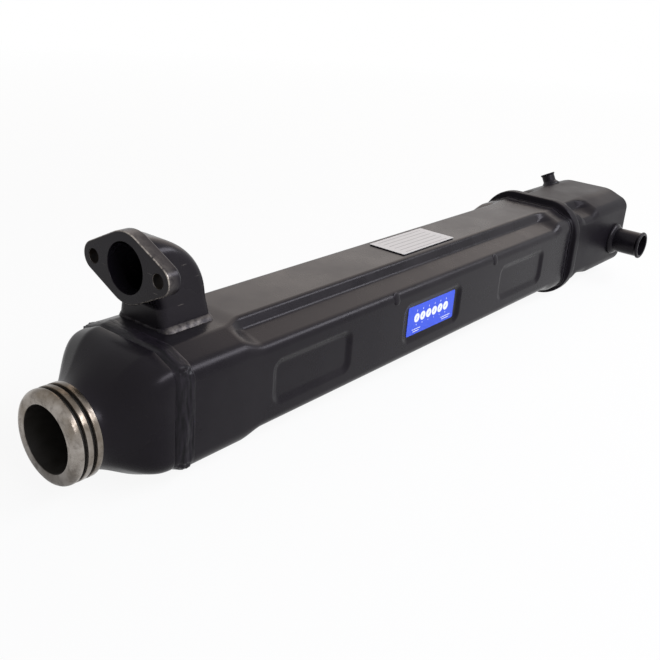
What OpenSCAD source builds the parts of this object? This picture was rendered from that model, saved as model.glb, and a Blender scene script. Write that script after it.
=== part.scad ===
// Exhaust gas cooler: a welded steel body round a bundle of flat gas tubes,
// with a turned gas outlet ring, a cast coolant elbow and a coolant tank at the far end.
// Millimetres. The origin is the centre of the outlet ring's bore on its front face.
// X points right, Y runs from the ring to the far tank, Z points up.

/* [Gas outlet ring] */
// bore of the ring
ring_bore_d = 50; // [40:1:56]
// outside of the ring
ring_od = 70; // [66:1:82]
// length of the ring in front of the cone
ring_len = 22; // [20:1:32]
// rounding of the ring's front edge
ring_edge_r = 5; // [2:0.5:6]
// width of each seal groove
groove_w = 2.4; // [1.6:0.2:3]
// depth of each seal groove
groove_depth = 3; // [2:0.5:3.5]
// distance from the front face to the first groove
groove_first = 7; // [6.5:0.5:8]
// distance between the two grooves
groove_pitch = 7.4; // [6:0.2:9]
// length of the spigot inside the cone's neck
spigot_len = 8; // [4:1:12]
// outside of the cone's neck, which the ring overhangs
neck_d = 63; // [62:0.5:66]

/* [Gas outlet cone] */
// length of the cone
cone_len = 48; // [36:1:70]
// sheet thickness of the cone
cone_wall = 2.5; // [1.5:0.5:3]
// step from the body's top in to the cone's base
cone_step = 1; // [0.5:0.5:4]
// step from the body's sides in to the cone's base
cone_side = 4; // [2:0.5:6]

/* [Body section] */
// width over the side walls
body_w = 114; // [110:1:130]
// height over the top and bottom ridges
body_h = 99; // [96:1:112]
// height of the body's centre above the gas outlet axis
body_z = 7.5; // [0:0.5:12]
// sheet thickness of the shell and the tank
wall = 2; // [1.5:0.25:2.5]
// width of the flat top
flat_w = 58; // [50:1:62]
// slope of the upper corners, degrees
corner_slope = 21.8; // [18:0.2:26]
// rounding between a sloped corner and the side
corner_r = 14; // [10:0.5:16]
// rounding between a sloped corner and the top
top_r = 12; // [6:0.5:14]

/* [Corner notches] */
// width of the ridge left between two notches
ridge_w = 54; // [50:1:58]
// depth of a notch below the ridge
notch_depth = 9.3; // [7:0.1:10]
// sideways run of the notch wall
notch_run = 5.5; // [4:0.5:7]
// slope of the ledge outside the notch, degrees
ledge_slope = 14; // [8:1:18]
// rounding between the ledge and the side
ledge_r = 9; // [6:0.5:11]
// rounding of the ridge and of the valley
notch_r = 3.2; // [2.8:0.2:4]

/* [Body lengths] */
// thickness of the front tube plate
plate_t = 12; // [8:1:14]
// how far the tube plate's edge lies inside the shell's face, under the weld
plate_step = 1; // [0.5:0.1:2]
// length of the plain chamber under the elbow
chamber_len = 52; // [50:1:70]
// drop of the chamber's top below the ridge
chamber_drop = 1.2; // [0.4:0.2:2]
// length over which a notch fades out
ramp_len = 22; // [14:1:30]
// length of the notched body between its ramps
notch_len = 474; // [460:2:560]
// plain length from the last ramp to the bellows
end_len = 26; // [24:1:40]

/* [Side recesses] */
// length of a pressed recess
pad_len = 96; // [80:1:110]
// height of a pressed recess
pad_h = 38; // [30:1:42]
// depth of a pressed recess
pad_depth = 2.5; // [1.5:0.25:3]
// slope run of a recess wall
pad_run = 3; // [2:0.5:4]
// distance from one recess to the next
pad_pitch = 174; // [150:1:180]

/* [Coolant elbow] */
// offset of the elbow from the middle of the body
elbow_x = -12; // [-14:1:0]
// distance of the elbow's foot behind the tube plate
elbow_back = 33; // [32:1:38]
// reach of the flange face in front of the foot's axis
elbow_reach = 36; // [34:1:50]
// height of the flange axis above the ridge
elbow_rise = 44.5; // [42:0.5:60]
// bend radius of the elbow
elbow_bend_r = 30; // [28:1:33]
// outside of the square elbow
elbow_size = 46; // [44:1:50]
// corner rounding of the square elbow
elbow_corner_r = 11; // [8:1:18]
// coolant bore
elbow_bore_d = 38; // [30:1:39]
// thickness of the flange
flange_t = 12; // [8:1:16]
// distance between the flange's bolt holes
flange_pitch = 70; // [68:1:80]
// bolt holes of the flange
flange_hole_d = 11; // [9:0.5:12]
// middle radius of the flange
flange_mid_r = 27; // [26:0.5:30]
// end radius of the flange
flange_end_r = 11.5; // [9:0.5:13]
// mean width of the weld round the foot
elbow_weld_w = 6.5; // [4:0.5:9]
// shift of the weld to the right and the back, where it is widest
elbow_weld_shift = 2.5; // [0:0.5:3]

/* [Bellows] */
// width over the convolution
crest_w = 126; // [124:1:140]
// height over the convolution
crest_h = 115; // [108:1:124]
// corner rounding of the convolution
crest_r = 40; // [34:1:44]
// length of the convolution
crest_len = 13; // [10:0.5:16]
// length of each neck
neck_len = 4; // [3:1:16]
// sheet thickness of the bellows
neck_t = 1.5; // [1:0.25:2]

/* [Rear tank] */
// plain length in front of the tank's notch
tank_front = 16; // [15:1:24]
// length of the notch behind the bellows
tank_notch_len = 18; // [10:1:30]
// plain length of the tank
tank_len = 82; // [74:1:110]
// thickness of the rear tube plate
rear_plate_t = 10; // [8:1:12]
// depth of the gas pan behind the tank
pan_len = 14; // [10:1:16]
// step from the tank's inside to the gas pan
pan_step = 7; // [5:0.5:10]
// length of the inlet ring outside the pan
inlet_len = 18; // [10:1:20]

/* [Coolant nipple and vent] */
// outside of the hose pipe
nipple_d = 30; // [24:1:34]
// wall of the hose pipe
nipple_wall = 2.2; // [1.5:0.1:3]
// length of the pipe outside the tank
nipple_len = 39; // [32:1:60]
// height of the end bead above the pipe
bead_h = 1.7; // [1:0.1:2.5]
// height of the nipple above the gas outlet axis
nipple_z = 1; // [-2:0.5:8]
// distance of the nipple in front of the tank's end
nipple_back = 27; // [26:1:30]
// outside of the boss
boss_d = 39; // [37:1:44]
// thickness of the boss
boss_t = 6; // [4:0.5:8]
// outside of the vent stub
vent_d = 16; // [12:1:18]
// length of the vent stub
vent_len = 14; // [12:1:26]
// lean of the vent stub to the left, degrees
vent_tilt = 28; // [21:1:34]
// bore of the vent stub
vent_bore_d = 11; // [7:0.5:12]

/* [Gas tubes] */
// width of a flat tube
tube_w = 44; // [40:0.5:45]
// thickness of a flat tube
tube_h = 6.4; // [5:0.2:7]
// distance between tube rows
tube_pitch = 9.6; // [9:0.1:9.8]
// sheet thickness of a tube
tube_wall = 0.8; // [0.6:0.1:1.2]
// gap between the two columns
tube_gap = 5; // [4:0.5:6]
// thickness of a support plate
support_t = 2; // [1.5:0.5:3]
// play round each tube in a support plate
support_play = 0.3; // [0.1:0.1:0.5]

/* [Plates and welds] */
// width of the data plate
data_w = 41; // [30:1:44]
// length of the data plate
data_len = 88; // [60:1:100]
// thickness of the data plate
data_t = 1.2; // [0.8:0.1:2]
// distance of the data plate behind the outlet ring
data_y = 381; // [340:1:400]
// height of the blue label
label_h = 29; // [20:1:31]
// length of the blue label
label_len = 79; // [60:1:80]
// thickness of the blue label
label_t = 0.4; // [0.2:0.1:0.6]
// thickness of the weld beads
bead_t = 1.6; // [1:0.1:2.5]
// width of the weld beads
bead_w = 4; // [2:0.5:6]

/* [Hidden] */
$fn = 72;
half_w = body_w / 2;
half_h = body_h / 2;
top_z = body_z + half_h;
// stations along the body, front to back
y_cone = ring_len;
y_plate = y_cone + cone_len;
y_shell = y_plate + plate_t;
y_ramp_1 = y_shell + chamber_len;
y_notch = y_ramp_1 + ramp_len;
y_ramp_2 = y_notch + notch_len;
y_plain = y_ramp_2 + ramp_len;
y_shell_end = y_plain + end_len;
y_crest = y_shell_end - 2;
y_tank = y_crest + crest_len - 2;
y_tank_ramp_1 = y_tank + tank_front;
tank_ramp_len = 12;
y_tank_notch = y_tank_ramp_1 + tank_ramp_len;
y_tank_ramp_2 = y_tank_notch + tank_notch_len;
y_tank_plain = y_tank_ramp_2 + ramp_len;
y_tank_end = y_tank_plain + tank_len;
y_rear_plate = y_tank_end - rear_plate_t - 2;
y_pan = y_tank_end - 2;
y_nipple = y_tank_end - nipple_back;
y_elbow = y_shell + elbow_back;
y_flange = y_elbow - elbow_reach;
z_flange = top_z + elbow_rise;
spigot_r = neck_d / 2 - cone_wall - 0.25;
inlet_spigot_r = ring_od / 2 - 3;
pad_mid = y_notch + notch_len / 2 - 6;

// steel black, bare steel and the other finishes
c_black = [0.09, 0.09, 0.1];
c_steel = [0.66, 0.63, 0.58];
c_weld = [0.3, 0.3, 0.31];
c_inside = [0.45, 0.45, 0.45];
c_plate = [0.78, 0.79, 0.8];
c_label = [0.1, 0.35, 0.7];

// section outlines, as lines given by the angle of their normal and their distance from the centre
function dir(a) = [cos(a), sin(a)];
function meet(a, da, b, db) = [da * sin(b) - db * sin(a), db * cos(a) - da * cos(b)] / sin(b - a);
function bow(c, r, a, b, n) = [for (i = [0 : n]) c + r * dir(a + (b - a) * i / n)];
function between(p, q, n) = [for (i = [0 : n]) p + (q - p) * (0.2 + 0.6 * i / n)];
function flip_x(q) = [for (i = [len(q) - 1 : -1 : 0]) [-q[i].x, q[i].y]];
function flip_z(q) = [for (i = [len(q) - 1 : -1 : 0]) [q[i].x, -q[i].y]];
function turned(q) = [for (p = q) -p];
function all_round(q) = concat(q, flip_x(q), turned(q), flip_z(q));

slope_a = 90 - corner_slope;
slope_d = dir(slope_a) * [flat_w / 2, half_h];
// plain section with sloped corners, t inside the outer face
function plain_q(t, drop) =
    let (e = bow(meet(0, half_w - corner_r, slope_a, slope_d - corner_r), corner_r - t, 0, slope_a, 6),
         h = half_h - drop,
         s = bow(meet(slope_a, slope_d - top_r, 90, h - top_r), top_r - t, slope_a, 90, 4))
    concat(e, between(e[6], s[0], 4), s);
ledge_a = 90 - ledge_slope;
notch_a = atan2(notch_run, notch_depth);
valley = [ridge_w / 2 + notch_run, half_h - notch_depth];
ledge_d = dir(ledge_a) * valley;
notch_d = dir(notch_a) * valley;
// notched section: side, ledge, valley and ridge
function notch_q(t) = concat(
    bow(meet(0, half_w - ledge_r, ledge_a, ledge_d - ledge_r), ledge_r - t, 0, ledge_a, 6),
    bow(meet(ledge_a, ledge_d + notch_r, notch_a, notch_d + notch_r), -notch_r - t, ledge_a, notch_a, 4),
    bow(meet(notch_a, notch_d - notch_r, 90, half_h - notch_r), notch_r - t, notch_a, 90, 4));
function crest_q(t) = bow([crest_w / 2 - crest_r, crest_h / 2 - crest_r], crest_r - t, 0, 90, 16);
function plain(t, drop = 0) = all_round(plain_q(t, drop));
function notched(t) = all_round(notch_q(t));
function mix(p, q, k) = [for (i = [0 : len(p) - 1]) p[i] + (q[i] - p[i]) * k];

// extrudes a section lying in X and Z from y0 to y1
module along_y(y0, y1) {
    translate([0, y1, body_z]) rotate([90, 0, 0]) linear_extrude(y1 - y0) children();
}
module ring_section(outer, inner) {
    difference() {
        polygon(outer);
        polygon(inner);
    }
}
// joins sections with the same number of points, one per station; the end faces are strips from right to left
module loft(ys, sections) {
    n = len(sections[0]);
    m = len(ys);
    q = n / 4;
    rows = concat([for (i = [q - 1 : -1 : 0]) [i, 2 * q - 1 - i]], [for (i = [0 : q - 1]) [4 * q - 1 - i, 2 * q + i]]);
    z = (m - 1) * n;
    translate([0, 0, body_z]) polyhedron(
        points = [for (j = [0 : m - 1]) for (p = sections[j]) [p.x, ys[j], p.y]],
        faces = concat(
            [for (i = [0 : len(rows) - 2]) [rows[i][0], rows[i + 1][0], rows[i + 1][1], rows[i][1]]],
            [for (i = [0 : len(rows) - 2]) [z + rows[i][0], z + rows[i][1], z + rows[i + 1][1], z + rows[i + 1][0]]],
            [for (j = [0 : m - 2]) for (i = [0 : n - 1]) let (k = (i + 1) % n) [j * n + i, j * n + k, j * n + n + k]],
            [for (j = [0 : m - 2]) for (i = [0 : n - 1]) let (k = (i + 1) % n) [j * n + i, j * n + n + k, j * n + n + i]]));
}
// a sheet between outer and inner sections, open at both ends
module sheet(ys_out, out, ys_in, in) {
    n = len(out[0]);
    a = len(ys_out) - 1;
    b = len(ys_in) - 1;
    z = (a + 1) * n;
    translate([0, 0, body_z]) polyhedron(
        points = concat(
            [for (j = [0 : a]) for (p = out[j]) [p.x, ys_out[j], p.y]],
            [for (j = [0 : b]) for (p = in[j]) [p.x, ys_in[j], p.y]]),
        faces = concat(
            [for (j = [0 : a - 1]) for (i = [0 : n - 1]) let (k = (i + 1) % n, s = j * n) [s + i, s + k, s + n + k]],
            [for (j = [0 : a - 1]) for (i = [0 : n - 1]) let (k = (i + 1) % n, s = j * n) [s + i, s + n + k, s + n + i]],
            [for (j = [0 : b - 1]) for (i = [0 : n - 1]) let (k = (i + 1) % n, s = z + j * n) [s + i, s + n + k, s + k]],
            [for (j = [0 : b - 1]) for (i = [0 : n - 1]) let (k = (i + 1) % n, s = z + j * n) [s + i, s + n + i, s + n + k]],
            [for (i = [0 : n - 1]) let (k = (i + 1) % n) [i, z + i, z + k, k]],
            [for (i = [0 : n - 1]) let (k = (i + 1) % n, s = a * n, r = z + b * n) [s + i, s + k, r + k, r + i]]));
}
// turned shapes: along the gas axis, to the right, and square to the left sloped corner
module round_y(y) {
    translate([0, y, 0]) rotate([-90, 0, 0]) rotate_extrude() children();
}
module round_x(x, y, z) {
    translate([x, y, z]) rotate([0, 90, 0]) rotate_extrude() children();
}
module tube_profile(r_in, r_out, y0, y1) {
    translate([r_in, y0]) square([r_out - r_in, y1 - y0]);
}

// form of the shell, t inside its outer face, e longer at both ends
module shell_form(t, e) {
    along_y(y_shell - e, y_ramp_1) polygon(plain(t, chamber_drop));
    loft([y_ramp_1, y_notch], [plain(t, chamber_drop), notched(t)]);
    along_y(y_notch, y_ramp_2) polygon(notched(t));
    loft([y_ramp_2, y_plain], [notched(t), plain(t)]);
    along_y(y_plain, y_shell_end + e) polygon(plain(t));
}
// one recess in each side, its floor t inside the recess's outer face
module recesses(t) {
    g = t * 0.6;
    x0 = half_w - t - pad_depth;
    x1 = half_w - t + 1;
    run = pad_run * (pad_depth + 1) / pad_depth;
    for (i = [-1 : 1], s = [-1, 1])
        translate([0, pad_mid + i * pad_pitch, body_z]) intersection() {
            translate([0, 0, -pad_h]) linear_extrude(2 * pad_h) polygon([
                [s * x0, -pad_len / 2 + pad_run - g], [s * x1, -pad_len / 2 + pad_run - run - g],
                [s * x1, pad_len / 2 - pad_run + run + g], [s * x0, pad_len / 2 - pad_run + g]]);
            translate([0, pad_len, 0]) rotate([90, 0, 0]) linear_extrude(2 * pad_len) polygon([
                [s * x0, -pad_h / 2 + pad_run - g], [s * x1, -pad_h / 2 + pad_run - run - g],
                [s * x1, pad_h / 2 - pad_run + run + g], [s * x0, pad_h / 2 - pad_run + g]]);
        }
}
module elbow_hole() {
    translate([elbow_x, y_elbow, body_z]) cylinder(d = elbow_bore_d, h = half_h + 10);
}

module gas_ring() {
    r0 = ring_bore_d / 2;
    r1 = ring_od / 2;
    color(c_steel) round_y(0) difference() {
        union() {
            translate([r0, ring_edge_r]) square([r1 - r0, ring_len - ring_edge_r]);
            translate([r0, 0]) square([r1 - r0 - ring_edge_r, ring_edge_r + 1]);
            translate([r1 - ring_edge_r, ring_edge_r]) circle(ring_edge_r);
            translate([r0, ring_len - 1]) square([spigot_r - r0, spigot_len + 1]);
        }
        for (i = [0, 1])
            translate([r1 - groove_depth, groove_first + i * groove_pitch]) square([groove_depth + 2, groove_w]);
    }
}

module ring_weld() {
    color(c_weld) round_y(ring_len + spigot_len) polygon([[spigot_r - 3, 0], [spigot_r, 0], [spigot_r, 2]]);
}

// section of the cone at share k from the round neck to the tube plate, with points along its straight sides
function cone_q(t) =
    let (q = plain_q(cone_step + t, chamber_drop), a = q[0], b = q[len(q) - 1], k = (half_w - cone_side - t) / a.x)
    [for (p = concat([for (i = [0.5 : 2.5]) [a.x, a.y * i / 3]], q, [for (i = [2.5 : -1 : 0.5]) [b.x * i / 3, b.y]]))
        [p.x * k, p.y]];
function cone_at(k, t, r) =
    [for (p = all_round(cone_q(t))) let (a = atan2(p.y, p.x)) (r * dir(a) - [0, body_z]) * (1 - k) + p * k];
// share of the way at length s: slow off the neck, then a full shoulder
function swell(s) = pow(1 - pow(1 - s, 2.5), 2.4);
module gas_cone() {
    n = 9;
    y_in = y_cone + spigot_len;
    neck_r = neck_d / 2;
    inner_r = neck_r - cone_wall;
    color(c_black) sheet(
        [for (i = [0 : n]) y_cone + cone_len * i / n],
        [for (i = [0 : n]) cone_at(swell(i / n), 0, neck_r)],
        concat([y_cone], [for (i = [0 : n]) y_in + (y_plate - y_in) * i / n]),
        concat([cone_at(0, cone_wall, inner_r)], [for (i = [0 : n]) cone_at(swell(i / n), cone_wall, inner_r)]));
}

// flat gas tubes, grown by g all round
module tube_places() {
    for (i = [-3 : 3], s = [-1, 1])
        translate([s * (tube_gap + tube_w) / 2, i * tube_pitch]) children();
    for (s = [-1, 1])
        translate([0, s * 4 * tube_pitch]) children();
}
module tube_2d(g) {
    r = tube_h / 2 + g;
    x = tube_w / 2 - tube_h / 2;
    square([2 * x, 2 * r], center = true);
    for (s = [-1, 1]) translate([s * x, 0]) circle(r, $fn = 32);
}
module gas_tubes() {
    color(c_inside) along_y(y_plate, y_rear_plate + rear_plate_t) tube_places() difference() {
        tube_2d(0);
        tube_2d(-tube_wall);
    }
}
module support_plates() {
    for (i = [-0.5, 0.5])
        color(c_inside) translate([0, pad_mid + i * pad_pitch, 0]) along_y(0, support_t) difference() {
            polygon(notched(wall + 0.4));
            tube_places() tube_2d(support_play);
        }
}
module front_tube_plate() {
    color(c_black) along_y(y_plate, y_shell) difference() {
        polygon(plain(plate_step, chamber_drop));
        tube_places() tube_2d(0);
    }
}
module front_seam_weld() {
    color(c_weld) along_y(y_plate + 2, y_shell) ring_section(plain(-0.4, chamber_drop), plain(plate_step, chamber_drop));
}

module shell() {
    color(c_black) difference() {
        shell_form(0, 0);
        difference() {
            shell_form(wall, 1);
            recesses(wall);
        }
        recesses(0);
        elbow_hole();
    }
}
// dots on the upper right edge in front of the second and third recess
module tack_welds() {
    edge = meet(0, half_w - ledge_r, ledge_a, ledge_d - ledge_r) + (ledge_r - 2) * dir(40);
    color(c_weld) for (i = [0, 1])
        difference() {
            translate([edge.x, pad_mid + i * pad_pitch - pad_len / 2 - 13, body_z + edge.y]) sphere(3.6, $fn = 32);
            along_y(y_notch, y_ramp_2) polygon(notched(0));
        }
}

module rounded_square(s, r) {
    square([s, s - 2 * r], center = true);
    square([s - 2 * r, s], center = true);
    for (x = [-1, 1], y = [-1, 1]) translate([x, y] * (s / 2 - r)) circle(r);
}
module flange_2d() {
    a = acos((flange_mid_r - flange_end_r) / (flange_pitch / 2));
    circle(flange_mid_r);
    for (s = [-1, 1]) {
        translate([s * flange_pitch / 2, 0]) circle(flange_end_r);
        polygon([
            s * [flange_mid_r * cos(a), flange_mid_r * sin(a)],
            s * [flange_pitch / 2 + flange_end_r * cos(a), flange_end_r * sin(a)],
            s * [flange_pitch / 2 + flange_end_r * cos(a), -flange_end_r * sin(a)],
            s * [flange_mid_r * cos(a), -flange_mid_r * sin(a)]]);
    }
}
// bend and foot of the elbow, for the casting and for its passage
module elbow_run(front, foot) {
    translate([elbow_x, y_elbow - elbow_bend_r, z_flange - elbow_bend_r])
        rotate([0, 90, 0]) rotate([0, 0, 90]) rotate_extrude(angle = 90) translate([elbow_bend_r, 0]) children();
    translate([elbow_x, y_elbow - elbow_bend_r, z_flange]) rotate([90, 0, 0])
        linear_extrude(y_elbow - elbow_bend_r - y_flange + front) children();
    translate([elbow_x, y_elbow, foot]) linear_extrude(z_flange - elbow_bend_r - foot) children();
}
// the chamber and the start of the ramp behind it, which the elbow and its weld stand on
module body_block() {
    along_y(y_plate, y_notch) polygon(plain(0, chamber_drop));
    translate([-half_w, 0, 0]) rotate([90, 0, 90]) linear_extrude(body_w) polygon([
        [y_ramp_1, top_z - chamber_drop - 6], [y_notch, top_z - chamber_drop - 6], [y_notch, top_z], [y_ramp_1, top_z - chamber_drop]]);
}
module elbow() {
    color(c_black) difference() {
        union() {
            translate([elbow_x, y_flange + flange_t, z_flange]) rotate([90, 0, 0]) linear_extrude(flange_t) flange_2d();
            elbow_run(0, top_z - 16) rounded_square(elbow_size, elbow_corner_r);
        }
        elbow_run(2, top_z - 20) circle(d = elbow_bore_d);
        for (s = [-1, 1])
            translate([elbow_x + s * flange_pitch / 2, y_flange + flange_t + 1, z_flange]) rotate([90, 0, 0])
                cylinder(d = flange_hole_d, h = flange_t + 2);
        body_block();
    }
}
module elbow_weld() {
    w = elbow_weld_w;
    h = 6;
    m = elbow_size / 2 - elbow_corner_r;
    color(c_weld) difference() {
        translate([elbow_x + elbow_weld_shift, y_elbow + elbow_weld_shift, 0]) union() {
            translate([0, 0, top_z - 14]) linear_extrude(14 - chamber_drop) rounded_square(elbow_size + 2 * w, elbow_corner_r + w);
            translate([0, 0, top_z - chamber_drop]) {
                for (x = [-1, 1], y = [-1, 1])
                    translate([x * m, y * m, 0]) cylinder(r1 = elbow_corner_r + w, r2 = elbow_corner_r + 0.5, h = h);
                for (a = [0, 90])
                    rotate([0, 0, a]) translate([0, m, 0]) rotate([90, 0, 0]) linear_extrude(2 * m) polygon([
                        [-elbow_size / 2 - w, 0], [elbow_size / 2 + w, 0], [elbow_size / 2 + 0.5, h], [-elbow_size / 2 - 0.5, h]]);
            }
        }
        translate([elbow_x, y_elbow, 0]) linear_extrude(top_z + 20) rounded_square(elbow_size, elbow_corner_r);
        body_block();
    }
}

// stations and sections of the convolution and its necks, t inside the outer face
function bellows_ys(t) = let (a = y_crest + t, b = y_crest + crest_len - t)
    [y_crest - neck_len, a, a + 0.5, a + 2, a + 4.5, b - 4.5, b - 2, b - 0.5, b, y_crest + crest_len + neck_len - 2];
function bellows_at(t) = let (neck = plain(t - neck_t), top = all_round(crest_q(t)))
    [neck, neck, mix(neck, top, 0.7), mix(neck, top, 0.92), top, top, mix(neck, top, 0.92), mix(neck, top, 0.7), neck, neck];
module bellows() {
    color(c_black) sheet(bellows_ys(0), bellows_at(0), bellows_ys(neck_t), bellows_at(neck_t));
}
module bellows_welds() {
    w = bead_w * 0.75;
    color(c_weld) {
        along_y(y_crest - neck_len - w, y_crest - neck_len) ring_section(plain(-neck_t), plain(0));
        along_y(y_crest + crest_len + neck_len - 2, y_crest + crest_len + neck_len - 2 + w) ring_section(plain(-neck_t), plain(0));
    }
}

module tank_form(t, e) {
    along_y(y_tank - e, y_tank_ramp_1) polygon(plain(t));
    loft([y_tank_ramp_1, y_tank_notch], [plain(t), notched(t)]);
    along_y(y_tank_notch, y_tank_ramp_2) polygon(notched(t));
    loft([y_tank_ramp_2, y_tank_plain], [notched(t), plain(t)]);
    along_y(y_tank_plain, y_tank_end + e) polygon(plain(t));
}
module rear_tank() {
    color(c_black) difference() {
        tank_form(0, 0);
        tank_form(wall, 1);
        round_x(half_w - 10, y_nipple, nipple_z) square([nipple_d / 2, 20]);
        on_left_corner() translate([0, 0, -8]) cylinder(d = vent_d, h = 16);
    }
}
module nipple() {
    r = nipple_d / 2;
    color(c_black) round_x(half_w - wall, y_nipple, nipple_z) difference() {
        union() {
            square([r, nipple_len + wall]);
            translate([r - 1, nipple_len + wall - 4]) circle(bead_h + 1, $fn = 32);
        }
        translate([-1, -1]) square([r - nipple_wall + 1, nipple_len + wall + 2]);
    }
}
module nipple_boss() {
    r0 = nipple_d / 2;
    r1 = boss_d / 2;
    q = boss_t / 3;
    color(c_black) round_x(half_w, y_nipple, nipple_z) union() {
        translate([r0, 0]) square([r1 - r0, boss_t - q]);
        translate([r0, 0]) square([r1 - r0 - q, boss_t]);
        translate([r1 - q, boss_t - q]) circle(q, $fn = 32);
    }
}
// places a part on the middle of the left sloped corner, leaning to the left
module on_left_corner() {
    x = flat_w / 2 + 0.38 * (half_w - flat_w / 2);
    z = top_z - (x - flat_w / 2) * tan(corner_slope);
    translate([-x, y_nipple - 3, z]) rotate([0, -vent_tilt, 0]) children();
}
module vent_stub() {
    color(c_black) on_left_corner() rotate_extrude() difference() {
        union() {
            translate([0, -wall]) square([vent_d / 2, vent_len + wall]);
            translate([0, vent_len - 2]) square([vent_d / 2 + 1, 2]);
        }
        translate([-1, -wall - 1]) square([vent_bore_d / 2 + 1, vent_len + wall + 2]);
    }
}
module vent_weld() {
    color(c_weld) difference() {
        on_left_corner() rotate_extrude() polygon([[vent_d / 2, -2.5], [vent_d / 2 + 3.5, -2.5], [vent_d / 2 + 3.5, 0], [vent_d / 2, 4]]);
        along_y(y_tank_plain, y_tank_end) polygon(plain(0));
    }
}

module rear_tube_plate() {
    color(c_inside) along_y(y_rear_plate, y_rear_plate + rear_plate_t) difference() {
        polygon(plain(wall));
        tube_places() tube_2d(0);
    }
}
module rear_seam_weld() {
    color(c_weld) along_y(y_pan, y_tank_end) ring_section(plain(wall), plain(wall + 2.5));
}
module rear_header() {
    t = wall + pan_step;
    color(c_inside) difference() {
        along_y(y_pan, y_pan + pan_len) polygon(plain(t));
        along_y(y_pan - 1, y_pan + pan_len - 2.5) polygon(plain(t + 2.5));
        translate([0, 0, body_z]) round_y(y_pan) square([inlet_spigot_r, pan_len + 5]);
    }
}
module inlet_ring() {
    r0 = ring_bore_d / 2;
    color(c_steel) translate([0, 0, body_z]) round_y(y_pan + pan_len) difference() {
        union() {
            square([ring_od / 2, inlet_len]);
            translate([0, -6]) square([inlet_spigot_r, 7]);
        }
        translate([-1, -10]) square([r0 + 1, inlet_len + 20]);
    }
}

module data_plate() {
    color(c_plate) translate([-data_w / 2 + 0.5, data_y, top_z]) cube([data_w, data_len, data_t]);
}
module temp_label() {
    color(c_label) translate([half_w - pad_depth, pad_mid - label_len / 2, body_z - label_h / 2])
        cube([label_t, label_len, label_h]);
}

gas_ring();
ring_weld();
gas_cone();
front_tube_plate();
front_seam_weld();
shell();
tack_welds();
support_plates();
gas_tubes();
elbow();
elbow_weld();
bellows();
bellows_welds();
rear_tank();
nipple();
nipple_boss();
vent_stub();
vent_weld();
rear_tube_plate();
rear_seam_weld();
rear_header();
inlet_ring();
data_plate();
temp_label();
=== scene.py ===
import math

import bmesh
import bpy
from mathutils import Matrix, Vector, noise


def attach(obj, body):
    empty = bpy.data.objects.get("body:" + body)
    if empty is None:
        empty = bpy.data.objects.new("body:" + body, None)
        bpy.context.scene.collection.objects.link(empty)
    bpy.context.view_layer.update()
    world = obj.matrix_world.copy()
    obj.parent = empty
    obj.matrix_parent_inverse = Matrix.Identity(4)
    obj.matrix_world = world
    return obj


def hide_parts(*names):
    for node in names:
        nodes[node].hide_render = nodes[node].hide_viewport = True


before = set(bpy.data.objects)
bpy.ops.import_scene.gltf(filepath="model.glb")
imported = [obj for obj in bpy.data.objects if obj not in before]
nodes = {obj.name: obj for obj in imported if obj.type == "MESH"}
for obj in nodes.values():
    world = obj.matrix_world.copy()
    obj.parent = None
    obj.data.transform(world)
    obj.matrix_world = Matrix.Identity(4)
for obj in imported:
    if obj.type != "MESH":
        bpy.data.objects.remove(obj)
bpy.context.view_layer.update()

MM = 0.001

# Body section in millimetres. The notch bends and the tank's top are softer than in the solids
BODY_W = 114.0
BODY_H = 99.0
BODY_Z = 7.5
FLAT_W = 58.0
CORNER_SLOPE = 21.8
CORNER_R = 14.0
TOP_R = 12.0
TANK_TOP_R = 34.0
RIDGE_W = 54.0
NOTCH_DEPTH = 9.3
NOTCH_RUN = 5.5
LEDGE_SLOPE = 14.0
LEDGE_R = 9.0
NOTCH_R = 5.2
WALL = 2.0
CHAMBER_DROP = 1.2
TOP_Z = BODY_Z + BODY_H / 2
HALF_W = BODY_W / 2

# Stations along the body, from the outlet ring to the inlet ring
Y_CONE = 22.0
Y_PLATE = 70.0
Y_SHELL = 82.0
Y_RAMP = 134.0
Y_NOTCH = 156.0
Y_NOTCH_END = 630.0
Y_PLAIN = 652.0
Y_SHELL_END = 678.0
Y_CREST = 676.0
Y_TANK = 687.0
Y_NECK_BEADS = ((669.4, 672.4), (690.6, 693.6))
Y_POCKET = (703.0, 715.0)
Y_POCKET_END = (733.0, 755.0)
Y_TANK_END = 837.0
Y_PAN = 835.0

# Outlet ring, and the pressed cone behind it
RING_R = 35.0
RING_BORE_R = 25.0
GROOVES = (7.0, 14.4)
GROOVE_R = 32.0
NECK_R = 31.5
CONE_STEP = 1.0
CONE_SIDE = 4.0
CONE_WALL = 2.5

# Front tube plate, and the flat gas tubes in it
PLATE_INSET = 3.4
TUBE_W = 44.0
TUBE_H = 6.4
TUBE_SIDE = 24.5
TUBE_PITCH = 9.6

# Side recesses
PAD_LEN = 96.0
PAD_H = 38.0
PAD_DEPTH = 2.5
PAD_MIDS = (213.0, 387.0, 561.0)
PAD_CORNER_R = 8.0
RIM_MID = 1.8
RIM_RUN = 7.6

# Convolution of the bellows
CREST_W = 126.0
CREST_H = 115.0
CREST_R = 40.0
BELLOWS_WALL = 1.5
NECK_BEAD_H = 1.3

# Coolant elbow
ELBOW_X = -12.0
ELBOW_Y = 115.0
FLANGE_Y = 79.0
FLANGE_Z = 101.5
FLANGE_T = 12.0
FLANGE_PITCH = 70.0
FLANGE_MID_R = 27.0
FLANGE_END_R = 11.5
FLANGE_HOLE_R = 5.5
BEND_R = 30.0
ELBOW_SIZE = 46.0
FOOT_CORNER_R = 6.0
FOOT_FLARE = 3.4
FOOT_FLARE_H = 22.0
ELBOW_BORE_R = 19.0
FOOT_WELD_H = 4.4

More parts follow.
